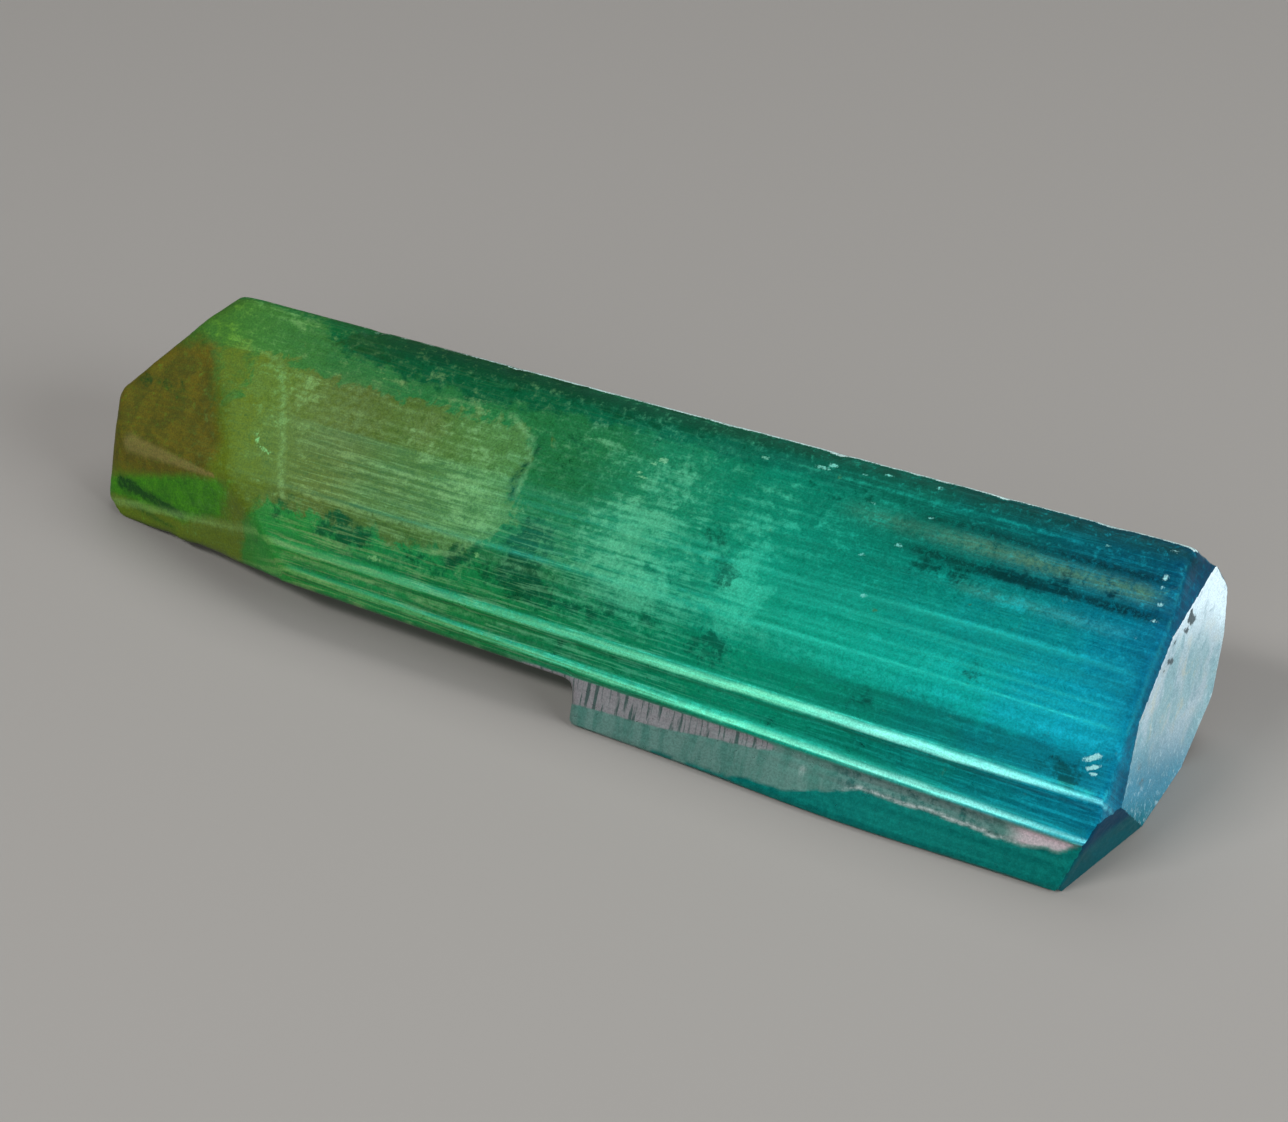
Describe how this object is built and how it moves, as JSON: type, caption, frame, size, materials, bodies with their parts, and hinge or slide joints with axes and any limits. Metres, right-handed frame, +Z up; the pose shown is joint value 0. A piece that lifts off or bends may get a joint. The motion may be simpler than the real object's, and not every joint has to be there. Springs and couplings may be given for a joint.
{
  "type": "tourmaline crystal",
  "caption": "Elongated, striated tourmaline prism lying on its side, green to blue, with a faceted brown and green end and a flat broken blue end.",
  "frame": {"origin": "middle of the crystal's box, at the surface it lies on", "axes": "+X along the crystal to its flat blue end, +Z up, -Y the striated front with the two strong ribs"},
  "size_m": [0.0466, 0.0126, 0.0097],
  "materials": {
    "tourmaline": "translucent, glossy prism faces with fine lengthwise striations, brown and olive at one end, through green, to teal blue, with a pale bluish end face"
  },
  "bodies": {
    "root": {"crystal": "tourmaline"}
  },
  "joints": []
}
